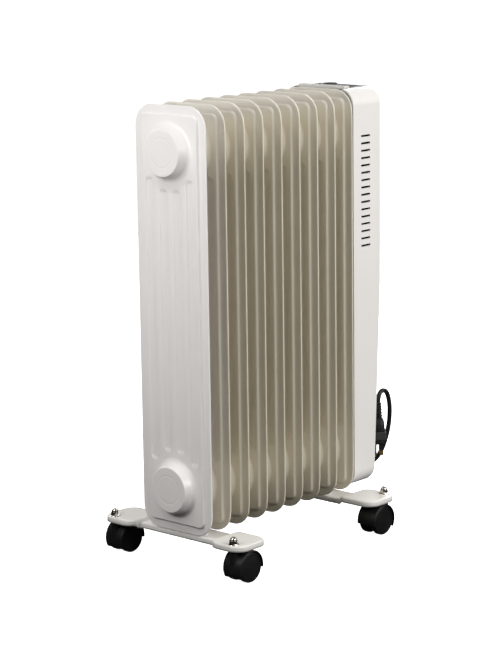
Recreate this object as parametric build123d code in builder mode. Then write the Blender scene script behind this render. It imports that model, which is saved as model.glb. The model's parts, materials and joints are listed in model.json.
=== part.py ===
from build123d import *
from math import cos, pi, radians, sin, sqrt, tan
import os

# Oil filled radiator heater.  Millimetres, +Z up, the floor at Z = 0, origin at the centre of the footprint.
# +X runs along the stack of fins from the end fin to the control housing, and Y runs across the fins.

os.makedirs("parts", exist_ok=True)

# ---------------------------------------------------------------- driving dimensions
half_length = 194.0          # from the origin to the foot's end at -X and to the housing's face at +X
fin_count = 9
fin_pitch = 37.7
fin_width = 126.6
fin_height = 580.0
fin_corner = 30.0
fin_base = 49.5              # height of the fins' lower edge above the floor
seam = 2.4                   # two sheets welded face to face round the rim
panel_inset = 11.5
panel_corner = 12.0
panel_rise = 3.0
panel_draft = 40.0           # degrees
sheet = 1.2
flute_spacing = 24.4         # four shallow upright flutes, one over each oil channel
flute_width = 14.4
flute_depth = 1.3
flute_clearance = 50.0       # from a hub's axis to the flutes' ends
channel_gap = 6.0            # between neighbouring oil channels
chamber_height = 44.0        # oil chamber round each hub
hub_inset = 62.0             # from the fin's top or lower edge to a hub's axis
hub_base_r = 36.5
hub_tip_r = 31.5
hub_wall = 2.5
last_hub_reach = 8.0
closed_end = 3.0             # thickness of a hub's closed end
element_port_r = 24.0
filler_port_r = 9.0

foot_half_width = 128.0
foot_outer = 39.0            # from the strip's middle to the lobe's outer edge, along X
foot_inner = 23.0
strip_half = 19.0
lobe_start = 70.0
lobe_corner = 20.0
lobe_lift = 4.7
foot_sheet = 1.6
strip_rim = 7.0
lobe_rim = 8.0
stem_offset = 29.5           # from the strip's middle out to the caster's stem
stem_y = 110.4

wheel_r = 20.5
wheel_width = 8.2
wheel_gap = 13.2             # between the two wheels of a caster
trail = 18.5
hood_r = 23.8
hood_sheet = 2.0
hood_width = 31.6
hood_edge_drop = 7.8         # the hood's lower edge below the axle, midway
hood_edge_tilt = 11.0        # degrees, lower on the stem's side
axle_r = 2.5
stem_r = 4.0
socket_r = 6.0
running = 0.05               # radial clearance of a running fit

housing_front_gap = 2.7      # from the last fin's middle plane to the housing's rim
housing_low = 56.5
housing_top = 630.0
housing_corner = 23.0
housing_wall = 2.5
housing_knee = 351.5         # the outer face leans inwards below this height
housing_foot_depth = 49.0    # depth of the housing at its lower edge
slot_count = 16
slot_pitch = 10.39
slot_top = 562.9
slot_x = 157.6
slot_length = 20.0
slot_height = 3.0
slot_corner = 0.9

panel_half_y = 43.8
panel_back = 189.8
panel_sheet = 2.5
well_back = 163.0
well_floor = 606.5
handle_top = 632.6
handle_width = 12.0
handle_setback = 4.5         # from the top panel's front edge to the handle
handle_thickness = 3.8
knob_r = 10.0
knob_top = 632.2
control_x = 177.0            # the row of controls: knob, two rockers, lamp
knob_y = 16.0
rocker_ys = (-8.0, -26.0)
rocker_hole = (17.2, 11.4)   # the switch's opening in the top panel, along X and Y
lamp_y = 36.0
lamp_r = 2.6

cord_r = 3.4

# ---------------------------------------------------------------- derived positions
foot_x = {"front": -half_length + foot_outer, "rear": 0.0}
first_fin = foot_x["front"] - fin_pitch / 2
last_fin = first_fin + (fin_count - 1) * fin_pitch
foot_x["rear"] = last_fin - fin_pitch / 2
fin_mid = fin_base + fin_height / 2
hub_low = fin_base + hub_inset
hub_high = fin_base + fin_height - hub_inset
panel_face = seam / 2 + panel_rise
housing_front = last_fin + housing_front_gap
housing_depth = half_length - housing_front
housing_mid = (housing_low + housing_top) / 2
lean = (housing_depth - housing_foot_depth) / (housing_knee - housing_low)
outward = {"front": -1, "rear": 1}
CENTRE_MIN = (Align.CENTER, Align.CENTER, Align.MIN)


def face_x(z):
    """The housing's outer face at height z."""
    return half_length - max(0.0, housing_knee - z) * lean


def save(part, name):
    part.label = name
    export_step(part, f"parts/{name}.step")


def side_plane(x, side, z=fin_mid):
    """A plane across the stack at x that faces side (+1 or -1), with its own Y upwards."""
    return Plane(origin=(x, 0, z), x_dir=(0, side, 0), z_dir=(side, 0, 0))


# ---------------------------------------------------------------- fins
def flute_length(y):
    """Length of the flute at y, whose ends keep their distance from both hubs."""
    return hub_high - hub_low - 2 * sqrt(flute_clearance ** 2 - y ** 2)


def make_fin(name, x, first, last):
    """Two pressed sheets welded at the rim: a raised panel with flutes, and a hub high and low."""
    outer_reach = fin_pitch / 2 - panel_face
    with BuildPart() as fin:
        for side in (-1, 1):
            ends_stack = last and side == 1
            with BuildSketch(side_plane(x, side)):
                RectangleRounded(fin_width, fin_height, fin_corner)
            extrude(amount=seam / 2)
            with BuildSketch(side_plane(x + side * seam / 2, side)):
                RectangleRounded(fin_width - 2 * panel_inset, fin_height - 2 * panel_inset, panel_corner)
            extrude(amount=panel_rise, taper=panel_draft)
            with BuildSketch(side_plane(x + side * panel_face, side)):
                for y in (0.5 * flute_spacing, 1.5 * flute_spacing):
                    with Locations((-y, 0), (y, 0)):
                        SlotOverall(flute_length(y), flute_width, rotation=90)
            extrude(amount=-flute_depth, mode=Mode.SUBTRACT)
            reach = last_hub_reach if ends_stack else outer_reach
            tip = hub_base_r - (hub_base_r - hub_tip_r) * reach / outer_reach
            for z in (hub_low, hub_high):
                with Locations(side_plane(x + side * panel_face, side, z)):
                    Cone(hub_base_r, tip, reach, align=CENTRE_MIN)
        # Oil space: four upright channels, a chamber round each hub, and the hubs' own bores.
        inside = panel_face - flute_depth - sheet
        with Locations((x, 0, fin_mid)):
            with GridLocations(0, flute_spacing, 1, 4):
                Box(2 * inside, flute_spacing - channel_gap, hub_high - hub_low, mode=Mode.SUBTRACT)
        for z in (hub_low, hub_high):
            with Locations((x, 0, z)):
                Box(2 * inside, 4 * flute_spacing - channel_gap, chamber_height, mode=Mode.SUBTRACT)
            for side in (-1, 1):
                closed = (first and side == -1) or (last and side == 1)
                reach = last_hub_reach if (last and side == 1) else outer_reach
                depth = panel_face + reach - (closed_end if closed else 0.0)
                with Locations(side_plane(x, side, z)):
                    Cone(hub_base_r - hub_wall, hub_tip_r - hub_wall, depth, align=CENTRE_MIN,
                         mode=Mode.SUBTRACT)
        if last:
            for z, radius in ((hub_low, element_port_r), (hub_high, filler_port_r)):
                with Locations(side_plane(x, 1, z)):
                    Cylinder(radius, fin_pitch / 2, align=CENTRE_MIN, mode=Mode.SUBTRACT)
    save(fin.part, name)


for number in range(1, fin_count + 1):
    make_fin("end_fin" if number == 1 else f"fin_{number}", first_fin + (number - 1) * fin_pitch,
             number == 1, number == fin_count)

# ---------------------------------------------------------------- heating element, its seal, the filler plug
hub_end = last_fin + panel_face + last_hub_reach
seal_thickness = 1.5
element_tube_r = 4.0
element_half_gap = 11.0
element_far = first_fin + 30.0
element_loop_y = 9.0         # of each of the two loops, from the middle
element_head_r = 27.0
element_head_height = 8.0
terminal_pin_r = 1.5
terminal_pin_length = 10.0
with BuildPart() as seal:
    with BuildSketch(side_plane(hub_end, 1, hub_low)):
        Circle(element_port_r + 4.0)
        Circle(element_port_r, mode=Mode.SUBTRACT)
    extrude(amount=seal_thickness)
save(seal.part, "element_seal")

with BuildPart() as element:
    with BuildSketch(side_plane(hub_end + seal_thickness, 1, hub_low)):
        RegularPolygon(element_head_r, 6)
    extrude(amount=element_head_height)
    with BuildSketch(side_plane(hub_end + seal_thickness, -1, hub_low)):
        Circle(element_port_r - running)
    extrude(amount=6.0)
    for y in (-element_loop_y, element_loop_y):
        with BuildLine(Plane(origin=(0, y, hub_low), x_dir=(1, 0, 0), z_dir=(0, -1, 0))):
            upper = Line((hub_end, element_half_gap), (element_far, element_half_gap))
            far_point = (element_far - element_half_gap, 0)
            bend = ThreePointArc(upper @ 1, far_point, (element_far, -element_half_gap))
            Line(bend @ 1, (hub_end, -element_half_gap))
        with BuildSketch(Plane(origin=(hub_end, y, hub_low + element_half_gap), z_dir=(-1, 0, 0))):
            Circle(element_tube_r)
        sweep()
        for side in (-1, 1):
            cold_end = hub_end + seal_thickness + element_head_height
            with Locations(Plane(origin=(cold_end, y, hub_low + side * element_half_gap), z_dir=(1, 0, 0))):
                Cylinder(terminal_pin_r, terminal_pin_length, align=CENTRE_MIN)
save(element.part, "heating_element")

filler_head_r = 12.0
filler_head_height = 6.0
filler_depth = 3.0
with BuildPart() as filler:
    with BuildSketch(side_plane(hub_end, 1, hub_high)):
        RegularPolygon(filler_head_r, 6)
    extrude(amount=filler_head_height)
    with BuildSketch(side_plane(hub_end, -1, hub_high)):
        Circle(filler_port_r - running)
    extrude(amount=filler_depth)
save(filler.part, "oil_filler_plug")

# ---------------------------------------------------------------- mounting plate with four screw pillars
plate_sheet = 1.5
plate_clearance = 0.4        # between the plate's edge and the housing's wall
plate_lip = housing_wall + plate_clearance
plate_front = last_fin + panel_face
plate_back = plate_front + plate_sheet
plate_port_r = 38.0          # holes round the last fin's hubs
pillar_ys = (-46.0, 46.0)
pillar_zs = (369.5, 592.0)
pillar_r = 4.5
cup_depth = 5.5
pillar_tip = half_length - cup_depth
screw_r = 2.0
screw_length = 18.0
screw_hole_depth = 22.0
screw_head_r = 4.2
screw_head_height = 2.4
screw_floor = 2.5            # housing material under a screw's head
with BuildPart() as plate:
    with BuildSketch(side_plane(plate_front, 1, housing_mid)):
        RectangleRounded(fin_width - 2 * plate_lip, housing_top - housing_low - 2 * plate_lip,
                         housing_corner - plate_lip)
    extrude(amount=plate_sheet)
    for z in (hub_low, hub_high):
        with Locations(side_plane(plate_front - plate_sheet, 1, z)):
            Cylinder(plate_port_r, 4 * plate_sheet, align=CENTRE_MIN, mode=Mode.SUBTRACT)
    with Locations((plate_front, 0, housing_top)):
        Box(4 * plate_sheet, 2 * panel_half_y + 1, 2 * (housing_top - well_floor + panel_sheet),
            mode=Mode.SUBTRACT)
    for z in pillar_zs:
        for y in pillar_ys:
            with Locations(Plane(origin=(plate_front, y, z), z_dir=(1, 0, 0))):
                Cylinder(pillar_r, pillar_tip - plate_front, align=CENTRE_MIN)
            with Locations(Plane(origin=(pillar_tip, y, z), z_dir=(-1, 0, 0))):
                Cylinder(screw_r + running, screw_hole_depth, align=CENTRE_MIN, mode=Mode.SUBTRACT)
save(plate.part, "mounting_plate")

# ---------------------------------------------------------------- control housing
gland_y = 34.0
gland_z = 292.0
gland_r = 7.7
screw_cup_r = 5.0
knee_round_r = 2400.0       # the lean starts gently


def housing_form(inset, round_over):
    """The housing's solid form, drawn in by inset on every side but the front."""
    width = fin_width - 2 * inset
    low = housing_low + inset
    top = housing_top - inset
    with BuildPart() as form:
        with BuildSketch(side_plane(housing_front, 1, (low + top) / 2)):
            RectangleRounded(width, top - low, housing_corner - inset)
        extrude(amount=housing_depth)
        with BuildSketch(Plane.XZ):
            with BuildLine():
                Polyline((housing_front - 1, housing_low - 5),
                         (face_x(housing_low - 5) - inset, housing_low - 5),
                         (half_length - inset, housing_knee), (half_length - inset, housing_top + 5),
                         (housing_front - 1, housing_top + 5), close=True)
            make_face()
            knee = [v for v in vertices() if abs(v.Z - housing_knee) < 1]
            fillet(knee, radius=knee_round_r)
        extrude(amount=fin_width, both=True, mode=Mode.INTERSECT)
        if round_over:
            outer = [f for f in form.faces() if f.normal_at().X > 0.9]
            borders = [e for f in outer for e in f.edges()]
            shared = [e for e in borders if sum(e.center() == b.center() for b in borders) == 1]
            fillet(shared, radius=round_over)
    return form.part


inner_form = housing_form(housing_wall, 0)
with BuildPart() as housing:
    add(housing_form(0, 6.0))
    add(inner_form, mode=Mode.SUBTRACT)
    for z in pillar_zs:
        for y in pillar_ys:
            with Locations(Plane(origin=(pillar_tip, y, z), z_dir=(1, 0, 0))):
                Cylinder(screw_cup_r + 1.5, cup_depth - 1, align=CENTRE_MIN)
                Cylinder(screw_r + 0.3, cup_depth, align=CENTRE_MIN, mode=Mode.SUBTRACT)
            with Locations(Plane(origin=(pillar_tip + screw_floor, y, z), z_dir=(1, 0, 0))):
                Cylinder(screw_cup_r, cup_depth, align=CENTRE_MIN, mode=Mode.SUBTRACT)
    # Vent slots through both side walls.
    slot_mid = slot_top - slot_pitch * (slot_count - 1) / 2
    with BuildSketch(Plane.XZ):
        with Locations((slot_x, slot_mid)):
            with GridLocations(0, slot_pitch, 1, slot_count):
                RectangleRounded(slot_length, slot_height, slot_corner)
    extrude(amount=fin_width, both=True, mode=Mode.SUBTRACT)
    # Opening for the top panel.
    with Locations((housing_front, 0, housing_top)):
        Box(panel_back + 0.2 - housing_front, 2 * panel_half_y + 0.4, 20,
            align=(Align.MIN, Align.CENTER, Align.CENTER), mode=Mode.SUBTRACT)
    # Hole for the cord's gland.
    with Locations(Plane(origin=(face_x(gland_z) - 12, gland_y, gland_z), z_dir=(1, 0, 0))):
        Cylinder(gland_r + 0.3, 30, align=CENTRE_MIN, mode=Mode.SUBTRACT)
save(housing.part, "control_housing")

with BuildPart() as screws:
    for z in pillar_zs:
        for y in pillar_ys:
            with Locations(Plane(origin=(pillar_tip + screw_floor, y, z), z_dir=(1, 0, 0))):
                Cylinder(screw_head_r, screw_head_height, align=CENTRE_MIN)
            with Locations(Plane(origin=(pillar_tip + screw_floor, y, z), z_dir=(-1, 0, 0))):
                Cylinder(screw_r, screw_length, align=CENTRE_MIN)
save(screws.part, "housing_screws")

# ---------------------------------------------------------------- top panel, hand well and handle
panel_front = plate_front + 0.2
handle_front = panel_front + handle_setback
front_wall_top = housing_top - 6.0
dish_r = knob_r + 1.0
dish_floor = housing_top - 6.0
with BuildPart() as panel:
    with Locations((panel_front, 0, housing_top)):
        Box(panel_back - panel_front, 2 * panel_half_y, panel_sheet,
            align=(Align.MIN, Align.CENTER, Align.MAX))
        Box(well_back + 2 - panel_front, 2 * panel_half_y, housing_top - well_floor + 2,
            align=(Align.MIN, Align.CENTER, Align.MAX))
    with Locations((panel_front + 2, 0, well_floor)):
        Box(well_back - panel_front - 2, 2 * (panel_half_y - 2), 60,
            align=(Align.MIN, Align.CENTER, Align.MIN), mode=Mode.SUBTRACT)
    with Locations((panel_front + 1, 0, front_wall_top)):
        Box(4, 2 * (panel_half_y - 2), 20, align=(Align.CENTER, Align.CENTER, Align.MIN), mode=Mode.SUBTRACT)
    with Locations((control_x, knob_y, dish_floor - 2)):
        Cylinder(dish_r + 1.0, housing_top - dish_floor + 2, align=CENTRE_MIN)
    with Locations((control_x, knob_y, dish_floor)):
        Cylinder(dish_r, 20, align=CENTRE_MIN, mode=Mode.SUBTRACT)
        Cylinder(3.4, 20, mode=Mode.SUBTRACT)
    for y in rocker_ys:
        with Locations((control_x, y, housing_top)):
            Box(*rocker_hole, 3 * panel_sheet, mode=Mode.SUBTRACT)
    with Locations((control_x, lamp_y, housing_top)):
        Cylinder(lamp_r, 3 * panel_sheet, mode=Mode.SUBTRACT)
save(panel.part, "top_panel")

with BuildPart() as handle:
    with Locations((handle_front, 0, handle_top)):
        Box(handle_width, 2 * (panel_half_y - 2.2), handle_thickness,
            align=(Align.MIN, Align.CENTER, Align.MAX))
    for side in (-1, 1):
        with Locations((handle_front + 1.1, side * (panel_half_y - 5.2), well_floor)):
            Box(handle_width - 2.2, 6.0, handle_top - well_floor - 1,
                align=(Align.MIN, Align.CENTER, Align.MIN))
    fillet(handle.edges().filter_by(Axis.Y).group_by(Axis.Z)[-1], radius=1.5)
save(handle.part, "carry_handle")

# ---------------------------------------------------------------- thermostat, switches, lamp
shaft_r = 3.0
thermostat_top = dish_floor - 2
thermostat_size = (22.0, 28.0, 18.0)
shaft_depth = 9.5            # of the shaft inside the thermostat
knob_flute_r = 0.6
knob_flutes = 24
with BuildPart() as thermostat:
    with Locations((control_x + 0.8, knob_y, thermostat_top)):
        Box(*thermostat_size, align=(Align.CENTER, Align.CENTER, Align.MAX))
    with Locations((control_x, knob_y, thermostat_top)):
        Cylinder(shaft_r + running, 20, align=(Align.CENTER, Align.CENTER, Align.CENTER), mode=Mode.SUBTRACT)
save(thermostat.part, "thermostat_body")

with BuildPart() as shaft:
    with Locations((control_x, knob_y, thermostat_top - shaft_depth)):
        Cylinder(shaft_r, knob_top - 2 - thermostat_top + shaft_depth, align=CENTRE_MIN)
save(shaft.part, "thermostat_shaft")

with BuildPart() as knob:
    with Locations((control_x, knob_y, dish_floor + 0.5)):
        Cylinder(knob_r, knob_top - dish_floor - 0.5, align=CENTRE_MIN)
    fillet(knob.edges().sort_by(Axis.Z)[-1], radius=1.0)
    with Locations((control_x, knob_y, dish_floor + 0.5)):
        with PolarLocations(knob_r, knob_flutes):
            Cylinder(knob_flute_r, 20, mode=Mode.SUBTRACT)
        Cylinder(shaft_r, knob_top - 2 - dish_floor - 0.5, align=CENTRE_MIN, mode=Mode.SUBTRACT)
    with Locations((control_x - knob_r + 2.5, knob_y, knob_top)):
        Box(4.0, 1.2, 1.0, mode=Mode.SUBTRACT)
save(knob.part, "thermostat_knob")

rocker_pivot_z = housing_top - 5.5
rocker_tilt = 7.0
rocker_pivot_r = 1.5
rocker_recess = 8.5          # depth of the switch body's open top
rocker_size = (15.0, 10.6, 6.4)
rocker_lift = 2.3            # the rocker's middle above its pivot
switch_size = (19.4, 13.4, 22.0)
with BuildPart() as bodies:
    for y in rocker_ys:
        with Locations((control_x, y, housing_top - panel_sheet)):
            Box(*switch_size, align=(Align.CENTER, Align.CENTER, Align.MAX))
            Box(*rocker_hole, rocker_recess, align=(Align.CENTER, Align.CENTER, Align.MAX), mode=Mode.SUBTRACT)
        with Locations(Plane(origin=(control_x, y, rocker_pivot_z), z_dir=(0, 1, 0))):
            Cylinder(rocker_pivot_r + running, 20, mode=Mode.SUBTRACT)
save(bodies.part, "switch_bodies")

for number, y in enumerate(rocker_ys, start=1):
    tilt = radians(rocker_tilt)
    tilted = Plane(origin=(control_x, y, rocker_pivot_z), z_dir=(sin(tilt), 0, cos(tilt)))
    with BuildPart() as rocker:
        with Locations(tilted):
            with Locations((0, 0, rocker_lift)):
                Box(*rocker_size)
        top_edges = rocker.edges().group_by(Axis.Z)[-1]
        fillet(top_edges, radius=0.8)
        with Locations(Plane(origin=(control_x, y, rocker_pivot_z), z_dir=(0, 1, 0))):
            Cylinder(rocker_pivot_r, 13.0)
    save(rocker.part, f"rocker_switch_{number}")

with BuildPart() as lamp:
    with Locations((control_x, lamp_y, housing_top - 10)):
        Cylinder(lamp_r - running, 10.6, align=CENTRE_MIN)
    fillet(lamp.edges().sort_by(Axis.Z)[-1], radius=0.5)
save(lamp.part, "indicator_lamp")

terminal_place = (-18.0, 212.0)   # Y and Z of the block's middle on the mounting plate
terminal_size = (16.0, 44.0, 20.0)
terminal_pitch = 14.0
terminal_well_r = 3.0
with BuildPart() as terminals:
    with Locations((plate_back, *terminal_place)):
        Box(*terminal_size, align=(Align.MIN, Align.CENTER, Align.CENTER))
    with Locations((plate_back + terminal_size[0], *terminal_place)):
        with GridLocations(0, terminal_pitch, 1, 3):
            Cylinder(terminal_well_r, 14, rotation=(0, 90, 0), mode=Mode.SUBTRACT)
save(terminals.part, "terminal_block")

cutout_z = 262.0
cutout_r = 9.0
cutout_depth = 7.0
with BuildPart() as cutout:
    with BuildSketch(side_plane(plate_back, 1, cutout_z)):
        Circle(cutout_r)
    extrude(amount=cutout_depth)
    with BuildSketch(side_plane(plate_back, 1, cutout_z)):
        RectangleRounded(30, 9, 3)
    extrude(amount=1.5)
save(cutout.part, "thermal_cutout")

tilt_place = (26.0, 206.0)
tilt_size = (18.0, 24.0, 26.0)
with BuildPart() as tilt_switch:
    with Locations((plate_back, *tilt_place)):
        Box(*tilt_size, align=(Align.MIN, Align.CENTER, Align.CENTER))
    fillet(tilt_switch.edges().filter_by(Axis.X), radius=2.0)
save(tilt_switch.part, "tilt_switch")


# ---------------------------------------------------------------- feet
def foot_slice(end, low, high, inset, y_low, y_high):
    """The dog-bone outline, drawn in by inset, between two heights and two distances from the middle."""
    middle = foot_x[end]
    lobe_x = middle + outward[end] * (foot_outer - foot_inner) / 2
    with BuildPart() as piece:
        with BuildSketch(Plane.XY.offset(low)):
            with Locations((middle, 0)):
                Rectangle(2 * strip_half, 2 * foot_half_width - 40)
            for side in (-1, 1):
                with Locations((lobe_x, side * (lobe_start + foot_half_width) / 2)):
                    RectangleRounded(foot_outer + foot_inner, foot_half_width - lobe_start, lobe_corner - 1)
            offset(amount=8)
            offset(amount=-8 - inset)
        extrude(amount=high - low)
        with Locations((middle, 0, (low + high) / 2)):
            Box(200, 2 * y_high, 200, mode=Mode.INTERSECT)
            if y_low > 0:
                Box(200, 2 * y_low, 200, mode=Mode.SUBTRACT)
    return piece.part


bolt_r = 2.5
bolt_y = hub_tip_r + 0.3 + bolt_r
lobe_top = fin_base + lobe_lift
for end in ("front", "rear"):
    strip_end = lobe_start + foot_sheet
    strip_low = fin_base - strip_rim
    with BuildPart() as foot:
        add(foot_slice(end, strip_low, fin_base, 0, 0, strip_end))
        add(foot_slice(end, strip_low, fin_base - foot_sheet, foot_sheet, 0, strip_end + 1),
            mode=Mode.SUBTRACT)
        add(foot_slice(end, lobe_top - lobe_rim, lobe_top, 0, lobe_start, 200))
        add(foot_slice(end, lobe_top - lobe_rim, lobe_top - foot_sheet, foot_sheet, lobe_start - 1, 200),
            mode=Mode.SUBTRACT)
        add(foot_slice(end, fin_base - foot_sheet, lobe_top, 0, lobe_start, strip_end))
        with Locations((foot_x[end], 0, fin_base)):
            with GridLocations(0, 2 * bolt_y, 1, 2):
                Cylinder(bolt_r + 0.4, 20, mode=Mode.SUBTRACT)
        with Locations((foot_x[end] + outward[end] * stem_offset, 0, lobe_top)):
            with GridLocations(0, 2 * stem_y, 1, 2):
                Cylinder(3.2, 20, mode=Mode.SUBTRACT)
    save(foot.part, f"foot_{end}")

    with BuildPart() as u_bolt:
        with BuildLine(Plane(origin=(foot_x[end], 0, 0), x_dir=(0, 1, 0), z_dir=(1, 0, 0))):
            leg = Line((-bolt_y, 35), (-bolt_y, hub_low))
            crown = ThreePointArc(leg @ 1, (0, hub_low + bolt_y), (bolt_y, hub_low))
            Line(crown @ 1, (bolt_y, 35))
        with BuildSketch(Plane(origin=(foot_x[end], -bolt_y, 35), z_dir=(0, 0, 1))):
            Circle(bolt_r)
        sweep()
    save(u_bolt.part, f"u_bolt_{end}")

with BuildPart() as wing_nuts:
    for end in ("front", "rear"):
        for side in (-1, 1):
            with Locations((foot_x[end], side * bolt_y, fin_base - foot_sheet)):
                Cylinder(5.5, 6, align=(Align.CENTER, Align.CENTER, Align.MAX))
                with Locations((0, 0, -5)):
                    Box(22, 2.4, 9)
                Cylinder(bolt_r + running, 40, mode=Mode.SUBTRACT)
save(wing_nuts.part, "wing_nuts")

# ---------------------------------------------------------------- casters
thread_r = 3.0
stem_flange = 2.0
stem_low = 24.0
socket_top = lobe_top - foot_sheet - stem_flange - 0.4
stem_places = [(foot_x[end] + outward[end] * stem_offset, side * stem_y) for end in ("front", "rear")
               for side in (-1, 1)]
with BuildPart() as stems:
    for x, y in stem_places:
        with Locations((x, y, stem_low)):
            Cylinder(stem_r, lobe_top - foot_sheet - stem_low - 1, align=CENTRE_MIN)
        with Locations((x, y, lobe_top - foot_sheet)):
            Cylinder(7.5, stem_flange, align=(Align.CENTER, Align.CENTER, Align.MAX))
            Cylinder(thread_r, foot_sheet + 7.0, align=CENTRE_MIN)
save(stems.part, "caster_stems")

washer_r = 7.2
washer_thickness = 1.4
nut_r = 6.0
nut_height = 6.0
dome_r = 4.8
with BuildPart() as dome_nuts:
    for x, y in stem_places:
        with Locations((x, y, lobe_top)):
            Cylinder(washer_r, washer_thickness, align=CENTRE_MIN)
        with BuildSketch(Plane.XY.offset(lobe_top)):
            with Locations((x, y)):
                RegularPolygon(nut_r, 6)
        extrude(amount=6.0)
        with Locations((x, y, lobe_top + nut_height)):
            Sphere(dome_r)
    for x, y in stem_places:
        with Locations((x, y, lobe_top)):
            Cylinder(thread_r + running, 14.4, mode=Mode.SUBTRACT)
save(dome_nuts.part, "dome_nuts")


def across(x, y, z):
    """A plane whose normal runs along +Y, for turned pieces on a wheel's axis."""
    return Plane(origin=(x, y, z), x_dir=(1, 0, 0), z_dir=(0, 1, 0))


def make_caster(name, x, y, direction):
    """One twin-wheel caster; its wheels trail behind the stem along direction (+1 or -1 in X)."""
    axle_x = x + direction * trail
    hub_reach = wheel_gap / 2 - 0.6
    with BuildPart() as hood:
        with BuildSketch(Plane.XZ.offset(-y)):
            with Locations((axle_x, wheel_r)):
                Circle(hood_r)
                Circle(hood_r - hood_sheet, mode=Mode.SUBTRACT)
                with Locations((0, -hood_r - hood_edge_drop)):
                    Rectangle(4 * hood_r, 2 * hood_r, rotation=direction * hood_edge_tilt, mode=Mode.SUBTRACT)
        extrude(amount=hood_width / 2, both=True)
        with BuildSketch(Plane.XZ.offset(-y)):
            with Locations((axle_x, wheel_r)):
                Circle(hood_r - 0.5)
                with Locations((0, -hood_r - 6)):
                    Rectangle(3 * hood_r, 2 * hood_r, mode=Mode.SUBTRACT)
        extrude(amount=2.5, both=True)
        with Locations((x, y, wheel_r - 6)):
            Cylinder(socket_r, socket_top - wheel_r + 6, align=CENTRE_MIN)
        with Locations(across(axle_x, y, wheel_r)):
            Cylinder(5.0, 2 * hub_reach)
            Cylinder(axle_r, 40, mode=Mode.SUBTRACT)
        with Locations((x, y, stem_low - 2)):
            Cylinder(stem_r + running, 60, align=CENTRE_MIN, mode=Mode.SUBTRACT)
    save(hood.part, f"{name}_hood")

    with BuildPart() as axle:
        with Locations(across(axle_x, y, wheel_r)):
            Cylinder(axle_r, 2 * (wheel_gap / 2 + wheel_width - 1.6))
    save(axle.part, f"{name}_axle")

    for label, side in (("right", -1), ("left", 1)):
        inner_y = y + side * wheel_gap / 2
        axis = Plane(origin=(axle_x, inner_y, wheel_r), x_dir=(side, 0, 0), z_dir=(0, side, 0))
        with BuildPart() as wheel:
            with Locations(axis):
                Cylinder(wheel_r, wheel_width, align=CENTRE_MIN)
            fillet(wheel.edges().filter_by(GeomType.CIRCLE), radius=1.5)
            with Locations(axis):
                Cylinder(axle_r + running, wheel_width - 1.2, align=CENTRE_MIN, mode=Mode.SUBTRACT)
                with Locations((0, 0, wheel_width - 0.8)):
                    Cylinder(17.6, 3, align=CENTRE_MIN, mode=Mode.SUBTRACT)
                    Cylinder(16.6, 0.6, align=CENTRE_MIN)
        save(wheel.part, f"{name}_wheel_{label}")


for end in ("front", "rear"):
    for label, side in (("right", -1), ("left", 1)):
        stem_x = foot_x[end] + outward[end] * stem_offset
        make_caster(f"caster_{end}_{label}", stem_x, side * stem_y, -outward[end])

# ---------------------------------------------------------------- cord: gland, tie, coil and plug
gland_out = 9.0
boot_length = 32.0


def face_plane(y, z):
    """A plane on the leaning part of the housing's outer face."""
    return Plane(origin=(face_x(z), y, z), x_dir=(0, 1, 0), z_dir=(1, 0, -lean))


boot_x = face_x(gland_z) + gland_out
boot_end = gland_z - boot_length
with BuildPart() as gland:
    with Locations(face_plane(gland_y, gland_z)):
        Cylinder(11.0, 2.0, align=CENTRE_MIN)
        Cylinder(gland_r, gland_out, align=CENTRE_MIN)
        Cylinder(gland_r, 6.0, align=(Align.CENTER, Align.CENTER, Align.MAX))
    with Locations((boot_x, gland_y, gland_z)):
        Sphere(gland_r)
    with Locations(Plane(origin=(boot_x, gland_y, gland_z), z_dir=(0, 0, -1))):
        Cone(gland_r, 5.0, boot_length, align=CENTRE_MIN)
save(gland.part, "cord_gland")

turn_pitch = 7.0             # between the middles of neighbouring turns
coil_r = 27.0                # outer bends of the coil
coil_straight = 100.0        # length of its upright runs
coil_y = gland_y - coil_r    # the coil's outer run hangs straight below the gland
coil_z = 162.0
coil_layers = (195.5, 195.5 + turn_pitch)
hank_r = coil_r + cord_r
with BuildPart() as hank:
    with BuildSketch(side_plane(coil_layers[0] - cord_r, 1, coil_z)):
        with Locations((coil_y, 0)):
            SlotOverall(coil_straight + 2 * hank_r, 2 * hank_r, rotation=90)
    extrude(amount=turn_pitch + 2 * cord_r)
save(hank.part, "cord_hank")

# The lead from the gland's boot down into the coil, and the tail from the coil up to the plug.
lead_route = [(boot_x, gland_y, boot_end), (199.6, 34.2, 247.5), (196.6, 34.0, 235.0),
              (coil_layers[0], 33.9, 222.0)]
tail_route = [(coil_layers[1], 34.0, 102.0), (202.7, 34.0, 87.6), (204.2, 24.6, 71.4), (208.5, 8.4, 62.0),
              (214.6, -10.4, 62.0), (221.6, -26.6, 71.4), (228.2, -36.0, 87.6), (233.4, -42.3, 113.5),
              (235.0, -45.6, 137.5), (233.9, -46.5, 160.5), (227.1, -46.6, 179.5), (215.5, -46.2, 183.5),
              (207.0, -46.4, 176.0), (205.5, -47.0, 166.5)]
plug_x, plug_y, plug_top = tail_route[-1]

# The plug hangs point down from the tail's end, its broad side turned by plug_turn degrees.
plug_turn = 41.5
relief_length = 22.0
plug_body_length = 39.0
plug_width = 24.0
plug_depth = 19.0
plug_frame = Plane(origin=(plug_x, plug_y, plug_top), z_dir=(0, 0, -1),
                   x_dir=(cos(radians(plug_turn)), sin(radians(plug_turn)), 0))

# One strap holds the coil and the plug's body together, and passes under a saddle on the housing.
tie_band = 1.4
tie_height = 11.0
tie_z = 118.5
tie_slack = 0.4
tie_x = 189.3                # inner face of the strap, on the housing's side
tie_far = coil_layers[1] + cord_r + tie_slack


def beside_plug(along, across):
    """A point beside the plug's body, as (x, y)."""
    point = plug_frame.from_local_coords((along, across, 0))
    return (point.X, point.Y)


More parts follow.
